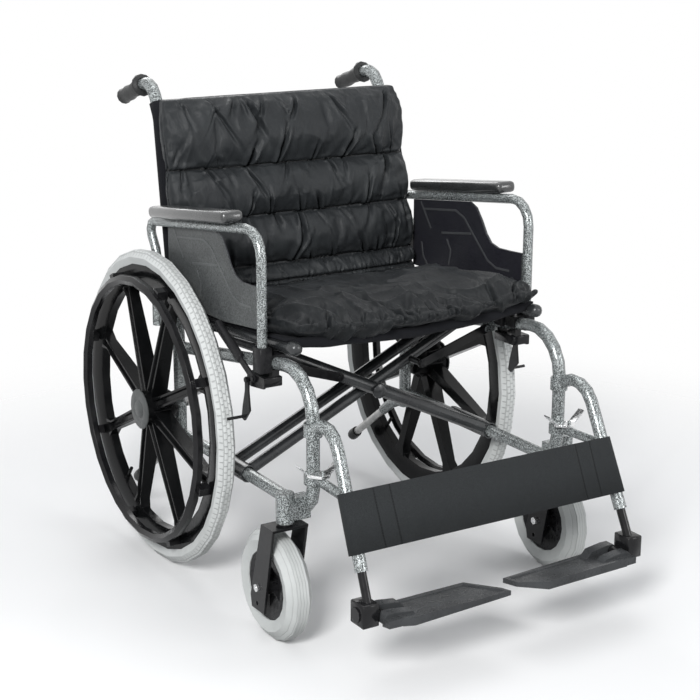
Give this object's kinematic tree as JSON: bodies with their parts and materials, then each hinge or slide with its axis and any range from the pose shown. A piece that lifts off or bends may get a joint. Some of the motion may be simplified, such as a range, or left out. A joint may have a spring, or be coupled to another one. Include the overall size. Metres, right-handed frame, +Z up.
{
  "type": "heavy-duty wheelchair",
  "caption": "Folding heavy-duty wheelchair with padded black seat and back, spoked plastic rear wheels, swing-away footrests and solid grey tyres.",
  "frame": {"origin": "centre of the bounding box's footprint, on the floor that the tyres stand on", "axes": "+X to the sitting person's left, +Y to the rear of the chair, +Z up"},
  "size_m": [0.7214, 1.0614, 0.9253],
  "materials": {
    "hammered_grey": "hammered silver-grey enamel",
    "satin_grey": "satin grey powder coat",
    "plated": "bright zinc plate",
    "steel": "dull zinc plate",
    "black_gloss": "gloss black enamel",
    "black_plastic": "fine-grained moulded black plastic",
    "grip_rubber": "matt black rubber",
    "tyre_grey": "light grey solid rubber",
    "cap_grey": "dark grey moulded plastic",
    "black_vinyl": "grained black vinyl over foam",
    "nylon": "coated black nylon, softly wrinkled",
    "webbing": "woven dark grey nylon"
  },
  "bodies": {
    "right_side": {"frame_right": "hammered_grey", "push_grip_right": "grip_rubber", "tipping_lever_right": "plated", "tipping_cap_right": "grip_rubber", "seat_saddle_right": "black_plastic", "armrest_socket_right": "black_plastic", "rear_axle_right": "steel", "brake_bracket_right": "black_gloss", "back_sling": "webbing", "back_cushion": "nylon"},
    "inner_brace": {"brace_right": "satin_grey", "pivot_bolt": "steel", "seat_sling": "webbing", "seat_cushion": "nylon"},
    "outer_brace": {"brace_left": "satin_grey"},
    "left_side": {"frame_left": "hammered_grey", "push_grip_left": "grip_rubber", "tipping_lever_left": "plated", "tipping_cap_left": "grip_rubber", "seat_saddle_left": "black_plastic", "armrest_socket_left": "black_plastic", "rear_axle_left": "steel", "brake_bracket_left": "black_gloss"},
    "armrest_right": {"armrest_tube_right": "hammered_grey", "arm_pad_right": "black_vinyl", "side_panel_right": "black_plastic"},
    "drive_wheel_right": {"rear_wheel_right": "black_plastic", "rear_tyre_right": "tyre_grey", "handrim_right": "black_gloss", "hub_cap_right": "cap_grey"},
    "fork_right": {"caster_fork_right": "black_gloss", "caster_axle_right": "plated"},
    "caster_right": {"caster_rim_right": "black_plastic", "caster_tyre_right": "tyre_grey"},
    "brake_handle_right": {"brake_lever_right": "black_plastic"},
    "brake_block_right": {"brake_shoe_right": "black_gloss"},
    "legrest_right": {"hanger_right": "hammered_grey", "calf_strap": "webbing"},
    "latch_right": {"hanger_latch_right": "plated"},
    "footrest_right": {"footrest_tube_right": "black_gloss"},
    "foot_right": {"footplate_right": "black_plastic"},
    "link_right": {"link_arm_right": "black_gloss"},
    "armrest_left": {"armrest_tube_left": "hammered_grey", "arm_pad_left": "black_vinyl", "side_panel_left": "black_plastic"},
    "drive_wheel_left": {"rear_wheel_left": "black_plastic", "rear_tyre_left": "tyre_grey", "handrim_left": "black_gloss", "hub_cap_left": "cap_grey"},
    "fork_left": {"caster_fork_left": "black_gloss", "caster_axle_left": "plated"},
    "caster_left": {"caster_rim_left": "black_plastic", "caster_tyre_left": "tyre_grey"},
    "brake_handle_left": {"brake_lever_left": "black_plastic"},
    "brake_block_left": {"brake_shoe_left": "black_gloss"},
    "legrest_left": {"hanger_left": "hammered_grey"},
    "latch_left": {"hanger_latch_left": "plated"},
    "footrest_left": {"footrest_tube_left": "black_gloss"},
    "foot_left": {"footplate_left": "black_plastic"},
    "link_left": {"link_arm_left": "black_gloss"}
  },
  "joints": [
    {"name": "fold", "type": "hinge", "parent": "right_side", "child": "inner_brace", "pos_m": [-0.2634, 0.22575, 0.242], "axis": [0, -1, 0], "range_deg": [0, 45], "deforming": ["seat_sling", "seat_cushion", "back_sling", "back_cushion", "calf_strap"]},
    {"name": "cross_pivot", "type": "hinge", "parent": "inner_brace", "child": "outer_brace", "pos_m": [0, 0.22575, 0.3655], "axis": [0, 1, 0], "range_deg": [0, 90]},
    {"name": "left_rail_pivot", "type": "hinge", "parent": "outer_brace", "child": "left_side", "pos_m": [0.2634, 0.22575, 0.242], "axis": [0, -1, 0], "range_deg": [0, 45]},
    {"name": "link_arm_right", "type": "hinge", "parent": "right_side", "child": "link_right", "pos_m": [-0.24, -0.08775, 0.456], "axis": [0, -1, 0], "range_deg": [0, 93]},
    {"name": "hanger_swing_right", "type": "hinge", "parent": "right_side", "child": "legrest_right", "pos_m": [-0.2634, -0.28425, 0.4], "axis": [0, 0, -1], "range_deg": [0, 90], "deforming": ["calf_strap"]},
    {"name": "latch_right", "type": "hinge", "parent": "legrest_right", "child": "latch_right", "pos_m": [-0.2634, -0.31725, 0.3165], "axis": [0, 0, 1], "range_deg": [0, 20]},
    {"name": "footrest_slide_right", "type": "slide", "parent": "legrest_right", "child": "footrest_right", "axis": [-0.0337, -0.4224, -0.9058], "range_m": [0, 0.05]},
    {"name": "footplate_flip_right", "type": "hinge", "parent": "footrest_right", "child": "foot_right", "pos_m": [-0.25, -0.47425, 0.128], "axis": [0, -1, 0], "range_deg": [0, 97]},
    {"name": "armrest_lift_right", "type": "slide", "parent": "right_side", "child": "armrest_right", "axis": [0, 0, 1], "range_m": [0, 0.1]},
    {"name": "brake_right", "type": "hinge", "parent": "right_side", "child": "brake_handle_right", "pos_m": [-0.2905, -0.12625, 0.446], "axis": [1, 0, 0], "range_deg": [0, 45]},
    {"name": "brake_shoe_right", "type": "hinge", "parent": "right_side", "child": "brake_block_right", "pos_m": [-0.2946, -0.11025, 0.4405], "axis": [1, 0, 0], "range_deg": [0, 17.1]},
    {"name": "rear_wheel_spin_right", "type": "hinge", "parent": "right_side", "child": "drive_wheel_right", "pos_m": [-0.3145, 0.22575, 0.305], "axis": [1, 0, 0], "continuous": true},
    {"name": "caster_swivel_right", "type": "hinge", "parent": "right_side", "child": "fork_right", "pos_m": [-0.3036, -0.25725, 0.2215], "axis": [0, 0, 1], "continuous": true},
    {"name": "caster_spin_right", "type": "hinge", "parent": "fork_right", "child": "caster_right", "pos_m": [-0.3036, -0.22225, 0.1], "axis": [1, 0, 0], "continuous": true},
    {"name": "link_arm_left", "type": "hinge", "parent": "left_side", "child": "link_left", "pos_m": [0.24, -0.08775, 0.456], "axis": [0, 1, 0], "range_deg": [0, 93]},
    {"name": "hanger_swing_left", "type": "hinge", "parent": "left_side", "child": "legrest_left", "pos_m": [0.2634, -0.28425, 0.4], "axis": [0, 0, 1], "range_deg": [0, 90], "deforming": ["calf_strap"]},
    {"name": "latch_left", "type": "hinge", "parent": "legrest_left", "child": "latch_left", "pos_m": [0.2634, -0.31725, 0.3165], "axis": [0, 0, 1], "range_deg": [0, 20]},
    {"name": "footrest_slide_left", "type": "slide", "parent": "legrest_left", "child": "footrest_left", "axis": [0.0337, -0.4224, -0.9058], "range_m": [0, 0.05]},
    {"name": "footplate_flip_left", "type": "hinge", "parent": "footrest_left", "child": "foot_left", "pos_m": [0.25, -0.47425, 0.128], "axis": [0, 1, 0], "range_deg": [0, 97]},
    {"name": "armrest_lift_left", "type": "slide", "parent": "left_side", "child": "armrest_left", "axis": [0, 0, 1], "range_m": [0, 0.1]},
    {"name": "brake_left", "type": "hinge", "parent": "left_side", "child": "brake_handle_left", "pos_m": [0.2905, -0.12625, 0.446], "axis": [1, 0, 0], "range_deg": [0, 45]},
    {"name": "brake_shoe_left", "type": "hinge", "parent": "left_side", "child": "brake_block_left", "pos_m": [0.2946, -0.11025, 0.4405], "axis": [1, 0, 0], "range_deg": [0, 17.1]},
    {"name": "rear_wheel_spin_left", "type": "hinge", "parent": "left_side", "child": "drive_wheel_left", "pos_m": [0.3145, 0.22575, 0.305], "axis": [1, 0, 0], "continuous": true},
    {"name": "caster_swivel_left", "type": "hinge", "parent": "left_side", "child": "fork_left", "pos_m": [0.3036, -0.25725, 0.2215], "axis": [0, 0, 1], "continuous": true},
    {"name": "caster_spin_left", "type": "hinge", "parent": "fork_left", "child": "caster_left", "pos_m": [0.3036, -0.22225, 0.1], "axis": [1, 0, 0], "continuous": true}
  ],
  "couplings": [
    {"joint": "cross_pivot", "follows": "fold", "ratio": 2},
    {"joint": "left_rail_pivot", "follows": "fold", "ratio": 1},
    {"joint": "link_arm_right", "follows": "fold", "ratio": 2.06},
    {"joint": "footplate_flip_right", "follows": "fold", "ratio": 2.15},
    {"joint": "brake_shoe_right", "follows": "brake_right", "ratio": 0.378},
    {"joint": "link_arm_left", "follows": "fold", "ratio": 2.06},
    {"joint": "footplate_flip_left", "follows": "fold", "ratio": 2.15},
    {"joint": "brake_shoe_left", "follows": "brake_left", "ratio": 0.378}
  ]
}
